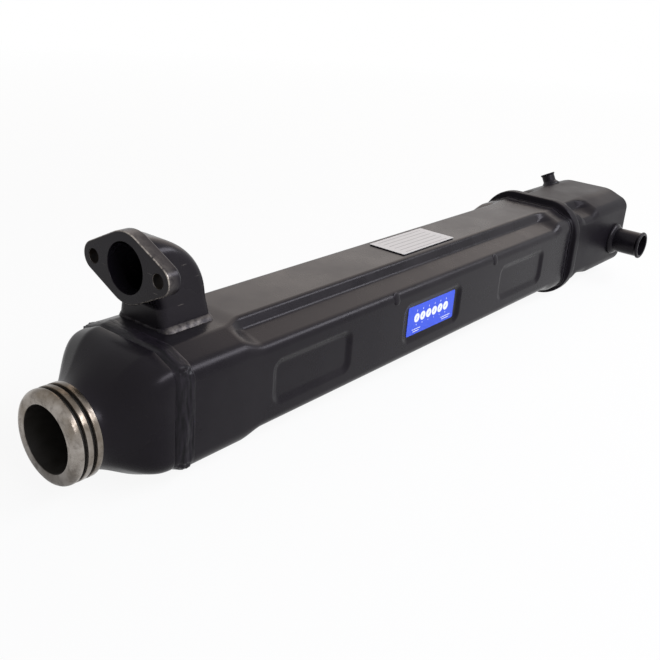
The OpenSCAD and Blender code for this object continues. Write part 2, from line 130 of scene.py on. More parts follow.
# Hose pipe and vent on the tank
NIPPLE_Y = 810.0
NIPPLE_Z = 1.0
NIPPLE_R = 15.0
NIPPLE_BORE_R = 12.8
BOSS_R = 19.5
VENT_Y = 807.0
VENT_TILT = 28.0
VENT_DOWN = 20.0
VENT_R = 8.0
VENT_BORE_R = 5.5

# Gas pan and inlet ring
PAN_LEN = 14.0
PAN_INSET = 9.0
PAN_HOLE_R = 32.0
INLET_R = 35.0
INLET_BORE_R = 25.0

# Data plate on top and label in the middle recess
DATA_X = (-20.0, 21.0)
DATA_Y = (381.0, 469.0)
DATA_T = 0.6
SHADOW_BACKING_INSET = 0.4
LABEL_LEN = 79.0
LABEL_H = 29.0
LABEL_T = 0.34
PRINT_T = 0.05


# Outlines in the plane of a section, X across and Z up from the body's centre
def points(*pairs):
    return [Vector(pair) for pair in pairs]


def box(x, y):
    """Corners of an upright box between two limits on either axis."""
    return points((x[0], y[0]), (x[1], y[0]), (x[1], y[1]), (x[0], y[1]))


def turn(angle):
    """Unit vector at an angle in degrees."""
    a = math.radians(angle)
    return Vector((math.cos(a), math.sin(a)))


def meet(a, da, b, db):
    """Point where two lines meet, each given by the angle of its normal and its distance."""
    na = turn(a)
    nb = turn(b)
    cross = na.x * nb.y - na.y * nb.x
    return Vector((da * nb.y - db * na.y, db * na.x - da * nb.x)) / cross


def bow(centre, r, a, b, steps):
    return [centre + r * turn(a + (b - a) * i / steps) for i in range(steps + 1)]


def soften(corners, r, steps=5):
    """Closed outline with each corner rounded by about r."""
    out = []
    for i, p in enumerate(corners):
        before = corners[i - 1] - p
        after = corners[(i + 1) % len(corners)] - p
        reach = min(r, before.length * 0.49, after.length * 0.49)
        a = p + before.normalized() * reach
        b = p + after.normalized() * reach
        for k in range(steps + 1):
            t = k / steps
            out.append(a * (1 - t) ** 2 + p * 2 * t * (1 - t) + b * t * t)
    return out


SIDE_STEPS = 10
RUN_STEPS = 6
TOP_STEPS = 8
# Steps across a recess's edge, from well inside it to just outside
RIM_STEPS = (-11.0, -9.5, -8.2, -7.0, -6.0, -5.0, -4.2, -3.5, -2.8, -2.1, -1.4, -0.7, 0.1, 1.0, 2.1)
WALL_ROWS = [PAD_H / 2 + step for step in RIM_STEPS]


def plain_quarter(inset=0.0, drop=0.0, top_r=TOP_R):
    """Upper right quarter of the plain section, from the side wall to the top."""
    slope = 90 - CORNER_SLOPE
    reach = turn(slope).dot(Vector((FLAT_W / 2, BODY_H / 2)))
    side_mid = meet(0, HALF_W - CORNER_R, slope, reach - CORNER_R)
    side = bow(side_mid, CORNER_R - inset, 0, slope, SIDE_STEPS)
    top_mid = meet(slope, reach - top_r, 90, BODY_H / 2 - drop - top_r)
    top = bow(top_mid, top_r - inset, slope, 90, TOP_STEPS)
    run = [side[-1].lerp(top[0], 0.2 + 0.6 * i / RUN_STEPS) for i in range(RUN_STEPS + 1)]
    return [Vector((HALF_W - inset, z)) for z in WALL_ROWS] + side + run + top


def notch_quarter(inset=0.0):
    """Upper right quarter of the notched section: side wall, ledge, valley and ridge."""
    ledge = 90 - LEDGE_SLOPE
    wall = math.degrees(math.atan2(NOTCH_RUN, NOTCH_DEPTH))
    valley = Vector((RIDGE_W / 2 + NOTCH_RUN, BODY_H / 2 - NOTCH_DEPTH))
    ledge_d = turn(ledge).dot(valley)
    wall_d = turn(wall).dot(valley)
    edge_mid = meet(0, HALF_W - LEDGE_R, ledge, ledge_d - LEDGE_R)
    edge = bow(edge_mid, LEDGE_R - inset, 0, ledge, SIDE_STEPS)
    dip_mid = meet(ledge, ledge_d + NOTCH_R, wall, wall_d + NOTCH_R)
    dip = bow(dip_mid, -NOTCH_R - inset, ledge, wall, RUN_STEPS)
    ridge_mid = meet(wall, wall_d - NOTCH_R, 90, BODY_H / 2 - NOTCH_R)
    ridge = bow(ridge_mid, NOTCH_R - inset, wall, 90, TOP_STEPS)
    return [Vector((HALF_W - inset, z)) for z in WALL_ROWS] + edge + dip + ridge


def whole(quarter):
    """All four quarters of a section, round once from the right side wall."""
    upper_left = [Vector((-p.x, p.y)) for p in reversed(quarter)]
    lower_left = [-p for p in quarter]
    lower_right = [Vector((p.x, -p.y)) for p in reversed(quarter)]
    return quarter + upper_left + lower_left + lower_right


def blend_outline(a, b, k):
    return [p.lerp(q, k) for p, q in zip(a, b)]


def ease(t):
    return t * t * (3 - 2 * t)


def at_y(outline, y, z=BODY_Z):
    return [Vector((p.x, y, p.y + z)) for p in outline]


def spread(outline, count):
    """The closed outline again, with count points at even steps."""
    lengths = [(outline[(i + 1) % len(outline)] - p).length for i, p in enumerate(outline)]
    step = sum(lengths) / count
    out = []
    i = 0
    passed = 0.0
    for k in range(count):
        while passed + lengths[i] < k * step:
            passed += lengths[i]
            i += 1
        share = (k * step - passed) / lengths[i]
        out.append(outline[i].lerp(outline[(i + 1) % len(outline)], share))
    return out


def outward(outline, i):
    """Direction square to a closed outline at one of its points."""
    tangent = outline[(i + 1) % len(outline)] - outline[i - 1]
    return Vector((tangent.y, -tangent.x)).normalized()


# Meshes
def add_loop(bm, ring):
    verts = [bm.verts.new(p) for p in ring]
    return [bm.edges.new((a, b)) for a, b in zip(verts, verts[1:] + verts[:1])]


def skin(rings, ends=False):
    """Joins rings of points, one after the other, and closes the ends where asked."""
    bm = bmesh.new()
    loops = [add_loop(bm, ring) for ring in rings]
    for front, back in zip(loops, loops[1:]):
        bmesh.ops.bridge_loops(bm, edges=front + back)
    if ends:
        bmesh.ops.holes_fill(bm, edges=loops[0] + loops[-1])
    bmesh.ops.recalc_face_normals(bm, faces=bm.faces)
    return bm


def turned(profile, steps=128):
    """Spins a closed profile of radius and length about the Z axis."""
    bm = bmesh.new()
    edges = add_loop(bm, [Vector((p.x, 0, p.y)) for p in profile])
    geometry = list(bm.verts) + edges
    bmesh.ops.spin(bm, geom=geometry, cent=(0, 0, 0), axis=(0, 0, 1), angle=math.tau, steps=steps,
                   use_merge=True)
    bmesh.ops.remove_doubles(bm, verts=bm.verts, dist=0.001)
    bmesh.ops.recalc_face_normals(bm, faces=bm.faces)
    return bm


def slab(outline, thickness, edge_r, segments=3, foot_r=None):
    """Flat plate in X and Y with rounded rims, from its outline."""
    bm = bmesh.new()
    face = bm.faces.new([bm.verts.new((p.x, p.y, 0)) for p in outline])
    grown = bmesh.ops.extrude_face_region(bm, geom=[face])
    top = [v for v in grown["geom"] if isinstance(v, bmesh.types.BMVert)]
    bmesh.ops.translate(bm, verts=top, vec=(0, 0, thickness))
    bmesh.ops.recalc_face_normals(bm, faces=bm.faces)
    foot_r = edge_r if foot_r is None else foot_r
    for height, r in ((thickness, edge_r), (0.0, foot_r)):
        rim = [e for e in bm.edges if all(abs(v.co.z - height) < 1e-6 for v in e.verts)]
        if r:
            bmesh.ops.bevel(bm, geom=rim, offset=r, affect="EDGES", segments=segments, profile=0.5,
                            material=-1)
    return bm


def place(bm, matrix):
    bmesh.ops.transform(bm, matrix=matrix, verts=bm.verts)
    return bm


def along(point, direction):
    """Places a shape made along Z with its foot on a point, along a direction."""
    turned_to = Vector(direction).to_track_quat("Z", "Y").to_matrix().to_4x4()
    return Matrix.Translation(point) @ turned_to


def join(*parts):
    """One mesh from several, which may overlap where the real piece is one casting."""
    whole_mesh = bmesh.new()
    for part in parts:
        mesh = bpy.data.meshes.new("part")
        part.to_mesh(mesh)
        part.free()
        whole_mesh.from_mesh(mesh)
        bpy.data.meshes.remove(mesh)
    return whole_mesh


def loose(name, bm):
    """Object from a mesh in millimetres, at the origin in metres."""
    bmesh.ops.scale(bm, vec=(MM, MM, MM), verts=bm.verts)
    for face in bm.faces:
        face.smooth = True
    mesh = bpy.data.meshes.new(name)
    bm.to_mesh(mesh)
    bm.free()
    made = bpy.data.objects.new(name, mesh)
    bpy.context.scene.collection.objects.link(made)
    return made


def mark(made, name, amount):
    """Keeps an amount from 0 to 1 on each point of a piece, worked out from its place in millimetres."""
    kept = made.data.attributes.new(name, "FLOAT", "POINT")
    for i, vertex in enumerate(made.data.vertices):
        kept.data[i].value = amount(vertex.co / MM)


def cut(made, *cutters):
    """Takes the cutters out of a piece and throws them away."""
    bpy.context.view_layer.objects.active = made
    for cutter in cutters:
        hole = made.modifiers.new("cut", "BOOLEAN")
        hole.operation = "DIFFERENCE"
        hole.solver = "EXACT"
        hole.object = cutter
        bpy.ops.object.modifier_apply(modifier=hole.name)
        bpy.data.objects.remove(cutter)


def finish_piece(made, material, replaced, sheet=0.0, sharp=40.0):
    """Gives a piece its sheet thickness, shading, finish and body, and hides the nodes it stands for."""
    if sheet:
        wall = made.modifiers.new("sheet", "SOLIDIFY")
        wall.thickness = sheet * MM
        wall.offset = -1
        wall.use_even_offset = True
    made.data.set_sharp_from_angle(angle=math.radians(sharp))
    even = made.modifiers.new("even shading", "WEIGHTED_NORMAL")
    even.keep_sharp = True
    made.data.materials.clear()
    made.data.materials.append(material)
    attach(made, "root")
    if replaced:
        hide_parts(*replaced)


# Materials
def node(tree, kind, inputs=None, **settings):
    """Shader node with its settings, each input linked to a socket or set to a value."""
    made = tree.nodes.new(kind)
    for key, value in settings.items():
        setattr(made, key, value)
    for key, value in (inputs or {}).items():
        if isinstance(value, bpy.types.NodeSocket):
            tree.links.new(value, made.inputs[key])
        else:
            made.inputs[key].default_value = value
    return made


def clean_material(name):
    material = bpy.data.materials.new(name)
    material.use_nodes = True
    tree = material.node_tree
    shader = tree.nodes["Principled BSDF"]
    where = node(tree, "ShaderNodeTexCoord").outputs["Object"]
    return material, tree, shader, where


def speckle(tree, where, scale, detail=3.0, roughness=0.55):
    """Noise from 0 to 1 at a scale in spots per metre."""
    made = node(tree, "ShaderNodeTexNoise", {"Vector": where, "Scale": scale, "Detail": detail,
                                             "Roughness": roughness})
    return made.outputs["Fac"]


def drawn_out(tree, where, scale, detail):
    """Noise with a scale of its own along each axis, for scratches and streaks."""
    stretched = node(tree, "ShaderNodeVectorMath", {0: where, 1: scale}, operation="MULTIPLY")
    return speckle(tree, stretched.outputs["Vector"], 1.0, detail, 0.5)


def between(tree, value, low, high, to_low=0.0, to_high=1.0):
    made = node(tree, "ShaderNodeMapRange", {"Value": value, "From Min": low, "From Max": high,
                                             "To Min": to_low, "To Max": to_high})
    return made.outputs["Result"]


def mix_colour(tree, share, a, b):
    return node(tree, "ShaderNodeMix", {0: share, 6: a, 7: b}, data_type="RGBA").outputs[2]


def math_node(tree, operation, a, b):
    return node(tree, "ShaderNodeMath", {0: a, 1: b}, operation=operation).outputs[0]


def bump(tree, height, strength, distance):
    made = node(tree, "ShaderNodeBump", {"Height": height, "Strength": strength, "Distance": distance})
    return made.outputs["Normal"]


def black_paint(name, shade, roughness, peel_scale, peel_depth, worn, shine=0.125):
    """Satin black paint with fine orange peel, dull patches, and bare metal where it has worn through and
    where the attribute marks a painted highlight.
    """
    material, tree, shader, where = clean_material(name)
    patches = speckle(tree, where, 22.0)
    peel = speckle(tree, where, peel_scale, 2.0)
    dust = speckle(tree, where, 420.0, 2.0)
    dark = (shade * 0.93, shade * 0.79, shade * 1.1, 1)
    pale = (shade * 1.43, shade * 1.24, shade * 1.55, 1)
    paint = mix_colour(tree, between(tree, patches, 0.35, 0.7), dark, pale)
    fleck = between(tree, dust, 0.68, 0.74, 0.0, 0.5)
    paint = mix_colour(tree, fleck, paint, (shade * 2.2, shade * 2.1, shade * 2.0, 1))
    # This attribute is real wear and painted highlight: bare metal on the flange's upper right and the
    # foot weld's right side
    wear_and_highlight = node(tree, "ShaderNodeAttribute", attribute_name="wear_and_highlight").outputs["Fac"]
    scuffs = speckle(tree, where, 260.0, 4.0, 0.7)
    bare = math_node(tree, "MULTIPLY", wear_and_highlight, between(tree, scuffs, 0.3, 0.56))
    scratches = drawn_out(tree, where, (40.0, 55.0, 900.0), 1.0)
    scratch = between(tree, scratches, 0.76, 0.79, 0.0, 0.25 * worn)
    bare = math_node(tree, "MAXIMUM", math_node(tree, "MULTIPLY", bare, worn), scratch)
    colour = mix_colour(tree, bare, paint, (0.4, 0.36, 0.32, 1))
    dull = between(tree, patches, 0.3, 0.7, roughness - 0.05, roughness + 0.07)
    tree.links.new(colour, shader.inputs["Base Color"])
    tree.links.new(dull, shader.inputs["Roughness"])
    tree.links.new(math_node(tree, "MULTIPLY", bare, 0.8), shader.inputs["Metallic"])
    tree.links.new(bump(tree, peel, 0.25, peel_depth), shader.inputs["Normal"])
    shader.inputs["Specular IOR Level"].default_value = shine
    # Lilac tint on every reflection: painted colour of the studio light, where real paint reflects white
    shader.inputs["Specular Tint"].default_value = (1.0, 0.93, 0.98, 1)
    return material


def weld_paint():
    """The same paint over a weld: glossier, with fine ripples and with dark and pale streaks along the
    bead, painted shade and highlight standing in for the light on its ripples.
    """
    material, tree, shader, where = clean_material("black paint on weld")
    streaks_and_painted_shade = drawn_out(tree, where, (110.0, 600.0, 70.0), 3.0)
    share = between(tree, streaks_and_painted_shade, 0.36, 0.66)
    grain = speckle(tree, where, 520.0, 2.0)
    # Dark and pale streaks along the bead: painted shade and painted highlight
    colour = mix_colour(tree, share, (0.003, 0.0025, 0.004, 1), (0.015, 0.012, 0.017, 1))
    tree.links.new(colour, shader.inputs["Base Color"])
    tree.links.new(between(tree, share, 0.0, 1.0, 0.46, 0.28), shader.inputs["Roughness"])
    height = math_node(tree, "ADD", grain, math_node(tree, "MULTIPLY", streaks_and_painted_shade, 2.5))
    tree.links.new(bump(tree, height, 0.35, 0.0003), shader.inputs["Normal"])
    shader.inputs["Specular IOR Level"].default_value = 0.17
    return material


def painted_shade_iron():
    """Bare iron, near black with specks of rust: painted shade inside the bolt holes and under the data
    plate's edge.
    """
    material, tree, shader, where = clean_material("near black iron with painted shade")
    rust = speckle(tree, where, 300.0, 4.0)
    rusty = between(tree, rust, 0.35, 0.7)
    colour = mix_colour(tree, rusty, (0.004, 0.0035, 0.003, 1), (0.016, 0.011, 0.008, 1))
    tree.links.new(colour, shader.inputs["Base Color"])
    tree.links.new(between(tree, rust, 0.3, 0.7, 0.75, 0.95), shader.inputs["Roughness"])
    tree.links.new(bump(tree, rust, 0.3, 0.0003), shader.inputs["Normal"])
    shader.inputs["Specular IOR Level"].default_value = 0.1
    return material


def turned_steel():
    """Bare turned steel: fine tool lines round the bore, straw tint, dark stains, and painted shade
    darkening the outer bands towards the top left.
    """
    material, tree, shader, where = clean_material("turned steel")
    split = node(tree, "ShaderNodeSeparateXYZ", {"Vector": where})
    tint = speckle(tree, where, 45.0, 4.0, 0.6)
    clean = between(tree, tint, 0.35, 0.68)
    straw = mix_colour(tree, clean, (0.16, 0.135, 0.11, 1), (0.35, 0.323, 0.298, 1))
    stain = speckle(tree, where, 130.0, 5.0, 0.65)
    stained = between(tree, stain, 0.5, 0.74, 0.0, 0.7)
    colour = mix_colour(tree, stained, straw, (0.045, 0.034, 0.025, 1))
    # Brown darkening of the outer bands behind the face towards the top left: painted shade
    leftward = math_node(tree, "MULTIPLY", split.outputs["X"], 0.5)
    height = math_node(tree, "SUBTRACT", split.outputs["Z"], leftward)
    behind_face = between(tree, split.outputs["Y"], 0.002, 0.006)
    painted_shade_top_left = math_node(tree, "MULTIPLY", between(tree, height, 0.006, 0.034, 0.0, 0.8), behind_face)
    colour = mix_colour(tree, painted_shade_top_left, colour, (0.06, 0.043, 0.026, 1))
    # The soot attribute is soot and painted shade: dark bore, dark grooves, darker low on the face
    soot = node(tree, "ShaderNodeAttribute", attribute_name="soot").outputs["Fac"]
    colour = mix_colour(tree, soot, colour, (0.01, 0.008, 0.006, 1))
    tool_travel = math_node(tree, "MULTIPLY", split.outputs["Y"], 3000.0)
    along_bore = node(tree, "ShaderNodeCombineXYZ", {"X": tool_travel}).outputs["Vector"]
    lines = speckle(tree, along_bore, 1.0, 2.0, 0.5)
    pits = math_node(tree, "ADD", lines, between(tree, stain, 0.45, 0.7, 0.0, 1.5))
    tree.links.new(colour, shader.inputs["Base Color"])
    tree.links.new(between(tree, soot, 0.0, 1.0, 1.0, 0.2), shader.inputs["Metallic"])
    gloss = between(tree, stain, 0.3, 0.7, 0.12, 0.36)
    gloss = math_node(tree, "ADD", gloss, between(tree, soot, 0.0, 1.0, 0.0, 0.4))
    tree.links.new(gloss, shader.inputs["Roughness"])
    tree.links.new(bump(tree, pits, 0.09, 0.0001), shader.inputs["Normal"])
    return material


def inner_steel():
    """Plain unpainted sheet inside the gas passages, browned by soot."""
    material, tree, shader, where = clean_material("inner steel")
    soot = speckle(tree, where, 60.0, 4.0)
    clean = between(tree, soot, 0.35, 0.65)
    colour = mix_colour(tree, clean, (0.10, 0.085, 0.07, 1), (0.26, 0.235, 0.21, 1))
    tree.links.new(colour, shader.inputs["Base Color"])
    shader.inputs["Metallic"].default_value = 0.8
    tree.links.new(between(tree, soot, 0.3, 0.7, 0.4, 0.6), shader.inputs["Roughness"])
    grain = speckle(tree, where, 900.0, 2.0)
    tree.links.new(bump(tree, grain, 0.2, 0.0001), shader.inputs["Normal"])
    return material


def silver_plate():
    """Brushed silver plate with faint ruled lines across it."""
    material, tree, shader, where = clean_material("silver plate")
    split = node(tree, "ShaderNodeSeparateXYZ", {"Vector": where})
    brush = drawn_out(tree, where, (4000.0, 60.0, 0.0), 3.0)
    colour = mix_colour(tree, brush, (0.37, 0.37, 0.38, 1), (0.5, 0.5, 0.51, 1))
    across = math_node(tree, "MODULO", math_node(tree, "ADD", split.outputs["X"], 0.1), 0.0065)
    off_middle = math_node(tree, "SUBTRACT", split.outputs["Y"], sum(DATA_Y) / 2 * MM)
    inside = math_node(tree, "LESS_THAN", math_node(tree, "ABSOLUTE", off_middle, 0.0), 0.036)
    ruled = math_node(tree, "MULTIPLY", math_node(tree, "LESS_THAN", across, 0.0009), inside)
    colour = mix_colour(tree, math_node(tree, "MULTIPLY", ruled, 0.75), colour, (0.1, 0.1, 0.11, 1))
    tree.links.new(colour, shader.inputs["Base Color"])
    shader.inputs["Metallic"].default_value = 0.35
    shader.inputs["Roughness"].default_value = 0.42
    tree.links.new(bump(tree, brush, 0.1, 0.0001), shader.inputs["Normal"])
    return material


def printed(name, colour):
    """Printed label film with a slight unevenness of ink and gloss."""
    material, tree, shader, where = clean_material(name)
    ink = speckle(tree, where, 500.0, 2.0)
    low = tuple(c * 0.93 for c in colour) + (1,)
    high = tuple(min(1.0, c * 1.04) for c in colour) + (1,)
    tree.links.new(mix_colour(tree, ink, low, high), shader.inputs["Base Color"])
    tree.links.new(between(tree, ink, 0.3, 0.7, 0.32, 0.42), shader.inputs["Roughness"])
    return material


PAINT = black_paint("satin black paint", 0.007, 0.28, 1100.0, 0.00012, 0.0)
CAST_PAINT = black_paint("black paint on casting", 0.008, 0.26, 620.0, 0.00014, 1.0, 0.15)
DULL_PAINT = black_paint("dull black paint", 0.007, 0.36, 1100.0, 0.00012, 0.0, 0.06)
WELD_PAINT = weld_paint()
# Lighter paint with bare patches, a painted highlight on the right-hand run of the foot weld
HIGHLIT_WELD_PAINT = black_paint("foot weld paint with painted highlight", 0.011, 0.33, 520.0, 0.0004, 1.0)
PAINTED_SHADE_IRON = painted_shade_iron()
STEEL = turned_steel()
INNER = inner_steel()
SILVER = silver_plate()
BLUE = printed("label blue", (0.012, 0.066, 0.68))
WHITE = printed("label white", (0.82, 0.84, 0.86))


# Shell and tank, two pressings with notched corners
def ramp_rings(start, end, front, back, steps=14):
    out = []
    for i in range(steps + 1):
        t = i / steps
        out.append(at_y(blend_outline(front, back, ease(t)), start + (end - start) * t))
    return out


def recess_depth(y, z):
    """How far the side wall is pressed in, at a point given from the body's centre line."""
    deepest = 0.0
    for mid in PAD_MIDS:
        over_y = abs(y - mid) - (PAD_LEN / 2 - RIM_MID - PAD_CORNER_R)
        over_z = abs(z) - (PAD_H / 2 - RIM_MID - PAD_CORNER_R)
        past_corner = math.hypot(max(over_y, 0.0), max(over_z, 0.0))
        outside = past_corner + min(max(over_y, over_z), 0.0) - PAD_CORNER_R
        share = min(max(0.5 - outside / RIM_RUN, 0.0), 1.0)
        deepest = max(deepest, PAD_DEPTH * ease(share))
    return deepest


def pressed_ring(outline, y):
    """Ring of the shell at a station, its side walls pressed in where a recess is."""
    out = []
    for p in outline:
        x = p.x
        if abs(abs(x) - HALF_W) < 0.001:
            x -= math.copysign(recess_depth(y, p.y), x)
        out.append(Vector((x, y, p.y + BODY_Z)))
    return out


chamber = whole(plain_quarter(drop=CHAMBER_DROP))
plain = whole(plain_quarter())
notched = whole(notch_quarter())
pad_stations = sorted(mid + side * (PAD_LEN / 2 + step)
                      for mid in PAD_MIDS for side in (-1, 1) for step in RIM_STEPS)
shell_rings = [at_y(chamber, Y_SHELL)]
shell_rings += ramp_rings(Y_RAMP, Y_NOTCH, chamber, notched)
shell_rings += [pressed_ring(notched, y) for y in pad_stations]
shell_rings += ramp_rings(Y_NOTCH_END, Y_PLAIN, notched, plain)
shell_rings += [at_y(plain, Y_SHELL_END)]
shell_sheet = loose("shell_pressing", skin(shell_rings))
finish_piece(shell_sheet, PAINT, ["shell"], sheet=WALL)

tank_plain = whole(plain_quarter(top_r=TANK_TOP_R))
tank_rings = [at_y(tank_plain, Y_TANK)]
tank_rings += ramp_rings(*Y_POCKET, tank_plain, notched, 8)
tank_rings += ramp_rings(*Y_POCKET_END, notched, tank_plain)
tank_rings += [at_y(tank_plain, Y_TANK_END)]
tank_sheet = loose("tank_pressing", skin(tank_rings))
finish_piece(tank_sheet, DULL_PAINT, ["rear_tank"], sheet=WALL)

# Front end: turned ring, pressed cone, tube plate and its weld
ring_profile = points((RING_BORE_R, 0.7), (25.2, 0.2), (25.7, 0.0), (30.0, 0.0),
                      (31.9, 0.4), (33.5, 1.5), (34.6, 3.1), (RING_R, 5.0))
for groove in GROOVES:
    ring_profile += points((RING_R, groove - 0.8), (34.8, groove - 0.5), (34.4, groove - 0.3),
                           (GROOVE_R, groove - 0.1), (GROOVE_R, groove + 2.5),
                           (34.4, groove + 2.7), (34.8, groove + 2.9), (RING_R, groove + 3.2))
ring_profile += points((RING_R, 21.4), (34.4, 22.0), (28.75, 22.0), (28.75, 30.0), (RING_BORE_R, 30.0))
ring = loose("outlet_ring", place(turned(ring_profile), along((0, 0, 0), (0, 1, 0))))


def ring_soot_and_shade(point):
    """Soot and painted shade in the bore, painted shade in the grooves and a little low on the face, clean
    elsewhere.
    """
    r = math.hypot(point.x, point.z)
    if r < RING_BORE_R + 0.1:
        return 1.0
    # Painted shade, darker towards the bottom of the face
    if point.y < 4.0:
        return 0.5 * max(-point.z / r, 0.0)
    if point.y > 20.0 or r > RING_R - 0.3:
        return 0.0
    return 1.0 if r < RING_R - 1.0 else 0.4


mark(ring, "soot", ring_soot_and_shade)
finish_piece(ring, STEEL, ["gas_ring"], sharp=50.0)

cone_base = spread(whole(plain_quarter(inset=CONE_STEP, drop=CHAMBER_DROP)), 260)
cone_base = [Vector((p.x * (HALF_W - CONE_SIDE) / (HALF_W - CONE_STEP), p.y)) for p in cone_base]


def cone_ring(share, y):
    """Section of the cone at a share of the way from the round neck to the tube plate."""
    out = []
    for p in cone_base:
        neck = NECK_R * p.normalized() - Vector((0, BODY_Z))
        q = neck.lerp(p, share)
        out.append(Vector((q.x, y, q.y + BODY_Z)))
    return out


def cone_swell(s):
    """Share of the way at length s: slow off the neck, then a full shoulder."""
    return (1 - (1 - s) ** 2.5) ** 2.4


CONE_STEPS = 36
cone_rings = []
for i in range(CONE_STEPS):
    s = i / CONE_STEPS
    cone_rings.append(cone_ring(cone_swell(s), Y_CONE + (Y_PLATE - Y_CONE) * s))
# The rounded edge at the cone's base
for back, turned_in in ((0.45, 0.15), (0.75, 0.45), (0.95, 0.95), (1.0, 1.6)):
    rim = [p - outward(cone_base, i) * turned_in for i, p in enumerate(cone_base)]
    cone_rings.append(at_y(rim, Y_PLATE - 1.0 + back))
finish_piece(loose("outlet_cone", skin(cone_rings)), PAINT, ["gas_cone"], sheet=CONE_WALL)


def slot_places():
    """Middle of each flat tube, in the section's plane."""
    pairs = [(side * TUBE_SIDE, row * TUBE_PITCH) for row in range(-3, 4) for side in (-1, 1)]
    return points(*pairs, (0, -4 * TUBE_PITCH), (0, 4 * TUBE_PITCH))


def slot_cutter(middle, y0, y1):
    r = TUBE_H / 2
    end = Vector((TUBE_W / 2 - r, 0))
    outline = bow(middle + end, r, -90, 90, 12) + bow(middle - end, r, 90, 270, 12)
    return loose("slot", skin([at_y(outline, y0), at_y(outline, y1)], ends=True))


def section_plate(outline, y0, y1, edge_r):
    """Plate of the body's section between two stations, with rounded rims."""
    flat = [Vector((p.x, -p.y)) for p in outline]
    to_section = Matrix.Translation((0, y0, BODY_Z)) @ Matrix.Rotation(-math.pi / 2, 4, "X")
    return place(slab(flat, y1 - y0, edge_r), to_section)


plate_outline = spread(whole(plain_quarter(inset=PLATE_INSET, drop=CHAMBER_DROP)), 200)
plate = loose("front_plate", section_plate(plate_outline, Y_PLATE, Y_SHELL, 0.6))
cut(plate, *[slot_cutter(middle, Y_PLATE - 1, Y_SHELL + 1) for middle in slot_places()])
finish_piece(plate, PAINT, ["front_tube_plate"])


def ripple(point, seed, depth):
    """Height of a weld's ripples and lumps at a point, in millimetres."""
    lumps = noise.noise(point * 0.16 + Vector((seed, seed, 0))) * 0.7
    fine = noise.noise(point * 0.55 + Vector((0, seed, seed))) * 0.3
    return depth * (lumps + fine)


# The weld between cone and shell: station and depth below the shell's face, on the flats and on the sides
FLAT_WELD = ((69.2, 3.2), (70.2, 3.1), (71.0, 2.7), (72.0, 2.0), (73.0, 1.3), (74.0, 0.75), (75.2, 0.4),
             (76.8, 0.15), (78.6, 0.05), (80.4, -0.05), (82.0, -0.12), (83.3, -0.1), (84.6, 0.4))
SIDE_WELD = ((69.0, 4.9), (69.6, 4.2), (70.4, 3.2), (71.4, 2.3), (72.8, 1.6), (74.4, 1.0), (76.0, 0.7),
             (77.6, 0.5), (79.2, 0.4), (80.8, 0.25), (82.2, 0.05), (83.4, -0.08), (84.6, 0.4))


def front_weld():
    """Weld round the front seam: smooth on the flats, streaked on the sides and lumpy at the corners."""
    outline = spread(whole(plain_quarter(drop=CHAMBER_DROP)), 640)
    rings = []
    for flat, side in zip(FLAT_WELD, SIDE_WELD):
        ring_points = []
        for i, p in enumerate(outline):
            normal = outward(outline, i)
            upright = ease(min(max((abs(normal.x) - 0.55) / 0.4, 0.0), 1.0))
            corner = math.exp(-((abs(normal.x) - 0.72) / 0.17) ** 2)
            y = flat[0] + (side[0] - flat[0]) * upright
            depth = flat[1] + (side[1] - flat[1]) * upright
            crown = math.sin(math.pi * min(max((y - 70.5) / 12.5, 0.0), 1.0))
            streak = noise.noise(Vector((y * 0.62, p.x * 0.05, p.y * 0.045)))
            clod = noise.noise(Vector((p.x * 0.36, y * 0.42, p.y * 0.36)))
            lump = noise.noise(Vector((p.x * 0.13 + 7.0, y * 0.2, p.y * 0.13)))
            knuckle = corner * (1.1 + 3.2 * clod)
            rise = crown * (2.0 * streak * upright + 0.5 * lump * (0.4 + upright) + knuckle)
            moved = p + normal * min(rise - depth, 0.4 + 1.4 * corner)
            ring_points.append(Vector((moved.x, y + 0.5 * lump * crown, moved.y + BODY_Z)))
        rings.append(ring_points)
    return skin(rings)


front_bead = loose("front_seam_bead", front_weld())
finish_piece(front_bead, WELD_PAINT, ["front_seam_weld"], sheet=0.8, sharp=80.0)


def seam_bead(y0, y1, height, seed, outline, count=420, rows=8):
    """Weld bead laid round the body over a seam."""
    outer = spread(outline, count)
    rings = []
    for j in range(rows + 1):
        t = j / rows
        ring_points = []
        for i, p in enumerate(outer):
            point = Vector((p.x, y0 + (y1 - y0) * t, p.y))
            rise = height * math.sin(math.pi * (0.06 + 0.88 * t)) * (0.8 + ripple(point, seed, 0.5))
            moved = p + outward(outer, i) * (rise - 0.35)
            edge = 0.5 * noise.noise(point * 0.3 + Vector((seed, 0, 0)))
            ring_points.append(Vector((moved.x, y0 + (y1 - y0) * t + edge, moved.y + BODY_Z)))
        rings.append(ring_points)
    return skin(rings)


# Bellows: one convolution between two necks, by station and share of the way from neck to crest
BELLOWS = ((-4.0, 0.0), (-1.2, 0.0), (-0.4, 0.04), (0.0, 0.2), (0.35, 0.5), (0.6, 0.8), (1.2, 0.92),
           (2.4, 0.975), (4.0, 1.0), (9.0, 1.0), (10.6, 0.975), (11.8, 0.92), (12.4, 0.8),
           (12.65, 0.5), (13.0, 0.2), (13.4, 0.04), (14.0, 0.0), (15.0, 0.0))
crest_corner = Vector((CREST_W / 2 - CREST_R, CREST_H / 2 - CREST_R))
crest = spread(whole(bow(crest_corner, CREST_R, 0, 90, 26)), 260)
neck = spread(whole(plain_quarter(inset=-BELLOWS_WALL)), 260)
bellows_rings = [at_y(blend_outline(neck, crest, k), Y_CREST + step) for step, k in BELLOWS]
bellows_sheet = loose("bellows_pressing", skin(bellows_rings))
finish_piece(bellows_sheet, DULL_PAINT, ["bellows"], sheet=BELLOWS_WALL)
neck_beads = []
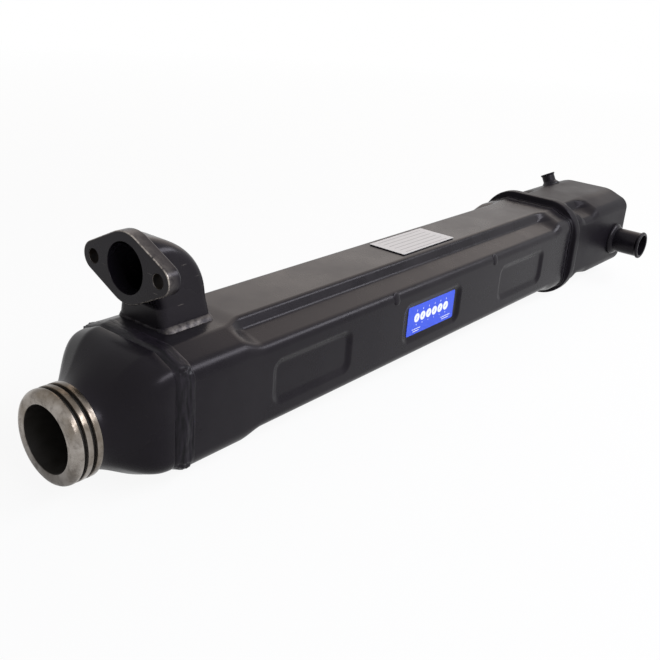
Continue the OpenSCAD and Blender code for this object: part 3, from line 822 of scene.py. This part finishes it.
for (y0, y1), seed in zip(Y_NECK_BEADS, (11.0, 17.0)):
    neck_beads.append(seam_bead(y0, y1, NECK_BEAD_H, seed, plain))
bellows_beads = loose("bellows_beads", join(*neck_beads))
finish_piece(bellows_beads, WELD_PAINT, ["bellows_welds"], sheet=1.0, sharp=70.0)


# Coolant elbow: casting with a two-bolt flange, and the weld round its foot
def flange_outline():
    a = math.degrees(math.acos((FLANGE_MID_R - FLANGE_END_R) / (FLANGE_PITCH / 2)))
    right = Vector((FLANGE_PITCH / 2, 0))
    out = bow(right, FLANGE_END_R, -a, a, 16)
    out += bow(Vector((0, 0)), FLANGE_MID_R, a, 180 - a, 16)
    out += bow(-right, FLANGE_END_R, 180 - a, 180 + a, 16)
    out += bow(Vector((0, 0)), FLANGE_MID_R, 180 + a, 360 - a, 16)
    return out


def rounded_square(size, r):
    h = size / 2
    corner = Vector((h - r, h - r))
    quarter = bow(corner, r, 0, 90, 10)
    return spread(whole(quarter), 120)


BEND_STEPS = 24


def elbow_path():
    """Stations of the elbow from its foot to the flange: place and turn from upright."""
    foot = [(Vector((0, ELBOW_Y, z)), 0.0) for z in (TOP_Z - 5, TOP_Z, TOP_Z + 5, FLANGE_Z - BEND_R - 5)]
    bend = []
    for i in range(BEND_STEPS + 1):
        a = 90 * i / BEND_STEPS
        d = turn(a)
        bend.append((Vector((0, ELBOW_Y - BEND_R + BEND_R * d.x, FLANGE_Z - BEND_R + BEND_R * d.y)), a))
    return foot + bend + [(Vector((0, FLANGE_Y + FLANGE_T - 1, FLANGE_Z)), 90.0)]


def elbow_ring(outline, centre, angle):
    a = math.radians(angle)
    out = []
    for p in outline:
        out.append(Vector((ELBOW_X + p.x, centre.y + p.y * math.cos(a), centre.z + p.y * math.sin(a))))
    return out


def flared(outline, z):
    """Section of the casting with its draft: wider towards the foot at the sides and behind."""
    grow = FOOT_FLARE * max(0.0, 1 - (z - TOP_Z + 5) / FOOT_FLARE_H)
    out = []
    for p in outline:
        side = min(max(abs(p.x) / 20, 0.0), 1.0)
        behind = min(max(p.y / 20, 0.0), 1.0)
        out.append(Vector((p.x + math.copysign(grow * side, p.x), p.y + grow * behind)))
    return out


elbow_outer = []
elbow_inner = []
for centre, angle in elbow_path():
    share = angle / 90
    outline = rounded_square(ELBOW_SIZE, FOOT_CORNER_R + 14.0 * share ** 3)
    elbow_outer.append(elbow_ring(flared(outline, centre.z), centre, angle))
    elbow_inner.append(elbow_ring(bow(Vector((0, 0)), ELBOW_BORE_R, 0, 357, 119), centre, angle))
elbow_skin = skin(elbow_outer)
elbow_bore = skin(elbow_inner)
bmesh.ops.reverse_faces(elbow_bore, faces=elbow_bore.faces)
flange_back = Matrix.Translation((ELBOW_X, FLANGE_Y + FLANGE_T, FLANGE_Z))
to_flange = flange_back @ Matrix.Rotation(math.pi / 2, 4, "X")
flange = loose("flange", place(slab(flange_outline(), FLANGE_T, 0.9, 4, 2.4), to_flange))


def hole_cutter(x, r, flare):
    profile = points((0, -2), (r + flare, -2), (r + flare, -0.2), (r, flare), (r, FLANGE_T - flare),
                     (r + flare, FLANGE_T + 0.2), (r + flare, FLANGE_T + 2), (0, FLANGE_T + 2))
    bm = turned(profile, 72)
    return loose("hole", place(bm, along((x, FLANGE_Y, FLANGE_Z), (0, 1, 0))))


bolt_cutters = [hole_cutter(ELBOW_X + side * FLANGE_PITCH / 2, FLANGE_HOLE_R, 0.5) for side in (-1, 1)]
cut(flange, hole_cutter(ELBOW_X, ELBOW_BORE_R, 0.6), *bolt_cutters)
flange_mesh = bmesh.new()
flange_mesh.from_mesh(flange.data)
bmesh.ops.scale(flange_mesh, vec=(1 / MM, 1 / MM, 1 / MM), verts=flange_mesh.verts)
bpy.data.objects.remove(flange)
elbow = loose("elbow_casting", join(flange_mesh, elbow_skin, elbow_bore))


def flange_wear_and_highlight(point):
    """Paint rubbed off the flange's front edge, with more bare metal towards the upper right as a painted
    highlight, and thinned on its rim.
    """
    behind = point.y - FLANGE_Y
    out = Vector((point.x - ELBOW_X, point.z - FLANGE_Z))
    if behind > FLANGE_T or out.length < ELBOW_BORE_R + 2:
        return 0.0
    # Bare metal grows towards the upper right, where the light falls: painted highlight over real edge
    # wear
    rubbed_and_highlight = 0.45 + 0.55 * min(max(out.normalized().dot(turn(35)) * 1.6, 0.0), 1.0)
    if 0.02 < behind < 0.85:
        return rubbed_and_highlight
    return 0.16 * rubbed_and_highlight if 0.85 <= behind < 1.2 else 0.0


mark(elbow, "wear_and_highlight", flange_wear_and_highlight)
finish_piece(elbow, CAST_PAINT, ["elbow"])
# Walls of the bolt holes take the near-black iron, painted shade inside the holes
elbow.data.materials.append(PAINTED_SHADE_IRON)
for face in elbow.data.polygons:
    spot = face.center / MM
    off_axis = math.hypot(abs(spot.x - ELBOW_X) - FLANGE_PITCH / 2, spot.z - FLANGE_Z)
    if off_axis < FLANGE_HOLE_R + 0.1 and FLANGE_Y + 0.1 < spot.y < FLANGE_Y + FLANGE_T:
        face.material_index = 1


def foot_weld_width(facing):
    """Broad on the right and behind, where the seam could be reached, and narrow under the flange."""
    right = max(facing.x, 0.0) ** 2
    behind = max(facing.y, 0.0) ** 2
    before = max(-facing.y, 0.0) ** 2
    return 2.4 + 2.6 * right - 0.6 * behind - 1.4 * before


def foot_weld(rows=9):
    """Fillet from the chamber's top up the foot of the elbow, higher behind than in front."""
    outline = flared(spread(rounded_square(ELBOW_SIZE - 0.6, FOOT_CORNER_R), 420), TOP_Z + 2)
    rings = []
    for j in range(rows + 1):
        t = j / rows
        ring_points = []
        for i, p in enumerate(outline):
            facing = outward(outline, i)
            lump = ripple(Vector((p.x, p.y, 3 * t)), 5.0, 1.1) * math.sin(math.pi * (0.12 + 0.76 * t))
            wander = 0.9 * noise.noise(Vector((p.x * 0.16, p.y * 0.16, 3.0)))
            q = p + facing * ((foot_weld_width(facing) + wander) * (1 - t))
            rise = FOOT_WELD_H * (0.5 + 0.5 * (1 + facing.y) ** 0.3) * t
            rise += 0.4 * lump + 0.7 * math.sin(math.pi * t)
            ring_points.append(Vector((ELBOW_X + q.x, ELBOW_Y + q.y, TOP_Z - CHAMBER_DROP - 0.4 + rise)))
        rings.append(ring_points)
    return skin(rings)


def foot_weld_highlight(point):
    """Bare patches on the right-hand run of the foot weld: painted highlight where the light falls on it.
    """
    beyond = point.x - ELBOW_X - ELBOW_SIZE / 2
    patch = noise.noise(point * 0.22 + Vector((9, 0, 0)))
    return min(max((beyond - 1.0) / 2.5, 0.0), 1.0) * (0.17 + 0.16 * patch)


foot_bead = loose("elbow_bead", foot_weld())
mark(foot_bead, "wear_and_highlight", foot_weld_highlight)
finish_piece(foot_bead, HIGHLIT_WELD_PAINT, ["elbow_weld"], sheet=0.8, sharp=80.0)

# Hose pipe with its boss, and the vent, on the tank
nipple_profile = points((NIPPLE_BORE_R, -WALL), (NIPPLE_R, -WALL), (NIPPLE_R, 34.0), (15.2, 34.8),
                        (15.9, 35.4), (16.5, 36.0), (16.7, 36.9), (16.6, 37.8), (16.1, 38.5), (15.3, 38.9),
                        (14.4, 39.0), (13.5, 38.9), (13.0, 38.6), (NIPPLE_BORE_R, 38.0))
nipple_place = along((HALF_W, NIPPLE_Y, NIPPLE_Z), (1, 0, 0))
nipple_mesh = place(turned(nipple_profile, 96), nipple_place)
finish_piece(loose("hose_pipe", nipple_mesh), PAINT, ["nipple"])
boss_profile = points((NIPPLE_R, -0.5), (BOSS_R, -0.5), (BOSS_R, 1.4), (19.3, 2.4), (18.7, 3.4),
                      (17.9, 4.2), (17.0, 4.9), (16.2, 5.4), (15.5, 5.8), (NIPPLE_R, 6.0))
boss_mesh = place(turned(boss_profile, 96), nipple_place)
finish_piece(loose("hose_boss", boss_mesh), PAINT, ["nipple_boss"])

slope = turn(90 - CORNER_SLOPE)
slope_reach = slope.dot(Vector((FLAT_W / 2, BODY_H / 2)))
vent_foot = slope * slope_reach + VENT_DOWN * turn(-CORNER_SLOPE)
vent_lean = turn(90 - VENT_TILT)
vent_place = along((-vent_foot.x, VENT_Y, BODY_Z + vent_foot.y), (-vent_lean.x, 0, vent_lean.y))
vent_profile = points((VENT_BORE_R, -WALL), (VENT_R, -WALL), (VENT_R, 11.6), (8.8, 12.0), (9.0, 12.5),
                      (9.0, 13.6), (8.6, 14.0), (6.0, 14.0), (VENT_BORE_R, 13.5))
vent_pipe = loose("vent_pipe", place(turned(vent_profile, 64), vent_place))
finish_piece(vent_pipe, PAINT, ["vent_stub"])
vent_bead_profile = points((7.8, -1.4), (11.5, -1.4), (11.4, -0.2), (10.9, 0.7), (9.7, 1.8), (8.6, 3.0),
                           (8.0, 4.0), (7.8, 4.0))
vent_bead = loose("vent_bead", place(turned(vent_bead_profile, 64), vent_place))
finish_piece(vent_bead, WELD_PAINT, ["vent_weld"])

# Far end: gas pan, inlet ring and the seam round them
pan_outline = spread(whole(plain_quarter(inset=PAN_INSET)), 200)
pan = loose("gas_pan", section_plate(pan_outline, Y_PAN, Y_PAN + PAN_LEN, 3.0))
pan_hole = turned(box((0, PAN_HOLE_R), (-2, 20)), 96)
cut(pan, loose("pan hole", place(pan_hole, along((0, Y_PAN, BODY_Z), (0, 1, 0)))))
finish_piece(pan, PAINT, ["rear_header"])
inlet_profile = points((INLET_BORE_R, -6.0), (PAN_HOLE_R, -6.0), (PAN_HOLE_R, 0.0), (34.5, 0.0),
                       (INLET_R, 0.5), (INLET_R, 17.0), (34.7, 17.7), (34.0, 18.0), (26.0, 18.0),
                       (25.3, 17.7), (INLET_BORE_R, 17.0))
inlet_mesh = place(turned(inlet_profile), along((0, Y_PAN + PAN_LEN, BODY_Z), (0, 1, 0)))
finish_piece(loose("inlet_ring_turned", inlet_mesh), STEEL, ["inlet_ring"])

# The weld between tank and rear tube plate: distance in from the tank's inner face, and station
REAR_WELD = ((0.0, 836.7), (0.9, 836.95), (2.0, 836.7), (3.4, 836.1), (4.8, 835.8), (6.0, 836.0),
             (7.0, 836.6), (7.8, 837.4))


def rear_weld():
    """Painted weld that fills the step between the tank's end and the gas pan."""
    outline = spread(whole(plain_quarter(inset=WALL, top_r=TANK_TOP_R)), 420)
    rings = []
    for inward, y in REAR_WELD:
        ring_points = []
        for i, p in enumerate(outline):
            moved = p - outward(outline, i) * inward
            lump = ripple(Vector((p.x, y, p.y)), 23.0, 0.5)
            ring_points.append(Vector((moved.x, y + lump, moved.y + BODY_Z)))
        rings.append(ring_points)
    return skin(rings)


rear_bead = loose("rear_seam_bead", rear_weld())
finish_piece(rear_bead, WELD_PAINT, ["rear_seam_weld"], sheet=0.4, sharp=80.0)

# Data plate and blue label
data_mesh = slab(soften(box(DATA_X, DATA_Y), 1.2, 3), DATA_T, 0.2, 2)
data_plate = loose("silver_plate", place(data_mesh, Matrix.Translation((0, 0, TOP_Z + DATA_T))))
finish_piece(data_plate, SILVER, ["data_plate"])
# Near-black slab a little inside the plate's edge: painted shadow in the gap under the data plate
shadow_backing_limits = [(low + SHADOW_BACKING_INSET, high - SHADOW_BACKING_INSET) for low, high in (DATA_X, DATA_Y)]
shadow_backing_mesh = slab(soften(box(*shadow_backing_limits), 1.2, 3), DATA_T + 0.1, 0.1, 1)
shadow_backing = loose("plate_shadow_backing", place(shadow_backing_mesh, Matrix.Translation((0, 0, TOP_Z))))
finish_piece(shadow_backing, PAINTED_SHADE_IRON, [])

label_outline = soften(box((-LABEL_LEN / 2, LABEL_LEN / 2), (-LABEL_H / 2, LABEL_H / 2)), 2.0, 4)
recess_floor = Matrix.Translation((HALF_W - PAD_DEPTH, PAD_MIDS[1], BODY_Z))
to_label = recess_floor @ Matrix(((0, 0, 1, 0), (1, 0, 0, 0), (0, 1, 0, 0), (0, 0, 0, 1)))
label = loose("blue_label", place(slab(label_outline, LABEL_T, 0.08, 1), to_label))
finish_piece(label, BLUE, ["temp_label"])


def bar(middle, size, lean=0.0):
    """Small printed bar on the label."""
    across = turn(lean) * size[0] / 2
    up = turn(lean + 90) * size[1] / 2
    return [middle - across - up, middle + across - up, middle + across + up, middle - across + up]


def printed_film(outline, height, thickness):
    """Film of ink on the label, at a height above the recess."""
    return place(slab(outline, thickness, 0), to_label @ Matrix.Translation((0, 0, height)))


marks = []
strokes = []
for i in range(6):
    middle = Vector((-24.5 + 9.8 * i, 1.6))
    marks.append(printed_film(bow(middle, 4.4, 0, 345, 23), LABEL_T, PRINT_T))
    marks.append(printed_film(bar(middle + Vector((0, 7.2)), (0.7, 1.7)), LABEL_T, PRINT_T))
    marks.append(printed_film(bar(middle - Vector((0, 6.8)), (0.7, 1.1)), LABEL_T, PRINT_T))
    strokes.append(printed_film(bar(middle, (3.6, 0.7), 55.0), LABEL_T + PRINT_T, 0.03))
for start, length in ((-31.0, 14.0), (18.0, 16.0)):
    for row in range(2):
        rule = bar(Vector((start + length / 2, -9.4 - 2.2 * row)), (length - 4.0 * row, 0.6))
        marks.append(printed_film(rule, LABEL_T, PRINT_T))
finish_piece(loose("label_marks", join(*marks)), WHITE, [])
finish_piece(loose("label_strokes", join(*strokes)), BLUE, [])

# Two soft drips of weld on the shell's right edge
drips = []
drip_shape = Matrix.Rotation(math.radians(-20), 4, "Y") @ Matrix.Diagonal((1.3, 5.4, 6.0, 1.0))
for y in (324.0, 498.0):
    drop = bmesh.new()
    bmesh.ops.create_uvsphere(drop, u_segments=32, v_segments=20, radius=1.0)
    drips.append(place(drop, Matrix.Translation((55.6, y, 37.6)) @ drip_shape))
finish_piece(loose("weld_drips", join(*drips)), PAINT, ["tack_welds"])

# CAD nodes that stay as they are
for name in ("gas_tubes", "support_plates", "rear_tube_plate", "ring_weld"):
    mesh = nodes[name].data
    mesh.materials.clear()
    mesh.materials.append(INNER)

# Floor, light and camera, in metres
FLOOR_Z = -0.0502
MIDDLE = (0.0, 0.4, 0.0)


def background_rays(tree):
    """1 for the rays that should see plain white: from the camera, off a glossy face and through glass."""
    path = node(tree, "ShaderNodeLightPath")
    seen = math_node(tree, "MAXIMUM", path.outputs["Is Camera Ray"], path.outputs["Is Glossy Ray"])
    return math_node(tree, "MAXIMUM", seen, path.outputs["Is Transmission Ray"])


def studio_floor():
    """Pale floor that keeps a faint shadow near the object and is white further off."""
    material, tree, shader, where = clean_material("pale floor")
    shader.inputs["Base Color"].default_value = (0.82, 0.82, 0.82, 1)
    shader.inputs["Roughness"].default_value = 0.9
    white = node(tree, "ShaderNodeEmission", {"Color": (1, 1, 1, 1), "Strength": 1.0}).outputs["Emission"]
    away = node(tree, "ShaderNodeVectorMath", {0: where, 1: MIDDLE}, operation="DISTANCE").outputs["Value"]
    share = math_node(tree, "MULTIPLY", background_rays(tree), between(tree, away, 0.6, 2.6, 0.92, 1.0))
    both = node(tree, "ShaderNodeMixShader", {0: share, 1: shader.outputs["BSDF"], 2: white})
    tree.links.new(both.outputs["Shader"], tree.nodes["Material Output"].inputs["Surface"])
    return material


floor_mesh = bmesh.new()
bmesh.ops.create_grid(floor_mesh, x_segments=1, y_segments=1, size=40.0)
bmesh.ops.translate(floor_mesh, verts=floor_mesh.verts, vec=(0, 0, FLOOR_Z))
floor_data = bpy.data.meshes.new("floor")
floor_mesh.to_mesh(floor_data)
floor_mesh.free()
floor = bpy.data.objects.new("floor", floor_data)
bpy.context.scene.collection.objects.link(floor)
floor.data.materials.append(studio_floor())

world = bpy.data.worlds.new("studio")
bpy.context.scene.world = world
world.use_nodes = True
sky = world.node_tree
background = sky.nodes["Background"]
sky.links.new(between(sky, background_rays(sky), 0.0, 1.0, 0.15, 1.0), background.inputs["Strength"])
background.inputs["Color"].default_value = (1, 1, 1, 1)


def soft_lamp(name, place_at, aim, size, power, colour):
    data = bpy.data.lights.new(name, "AREA")
    data.shape = "RECTANGLE"
    data.size = size[0]
    data.size_y = size[1]
    data.energy = power
    data.color = colour
    made = bpy.data.objects.new(name, data)
    made.location = place_at
    made.rotation_mode = "QUATERNION"
    made.rotation_quaternion = (Vector(aim) - Vector(place_at)).to_track_quat("-Z", "Y")
    bpy.context.scene.collection.objects.link(made)


soft_lamp("warm back", (-0.85, 1.85, 1.3), MIDDLE, (2.0, 1.7), 10.5, (1.0, 0.82, 0.69))
soft_lamp("cool strip", (1.2, 0.75, 1.2), MIDDLE, (2.8, 0.5), 46.0, (0.91, 0.93, 1.0))

camera_data = bpy.data.cameras.new("camera")
camera_data.sensor_width = 36.0
camera_data.lens = 49.34
camera_data.clip_start = 0.01
camera = bpy.data.objects.new("camera", camera_data)
RIGHT = Vector((0.7707, 0.6333, 0.0707))
UP = Vector((-0.2957, 0.2572, 0.9200))
AHEAD = Vector((-0.5644, 0.7300, -0.3855))
camera_turn = Matrix((RIGHT, UP, -AHEAD)).transposed().to_4x4()
camera.matrix_world = Matrix.Translation((0.4695, -0.3037, 0.3163)) @ camera_turn
bpy.context.scene.collection.objects.link(camera)
bpy.context.scene.camera = camera
bpy.context.scene.view_settings.view_transform = "Standard"
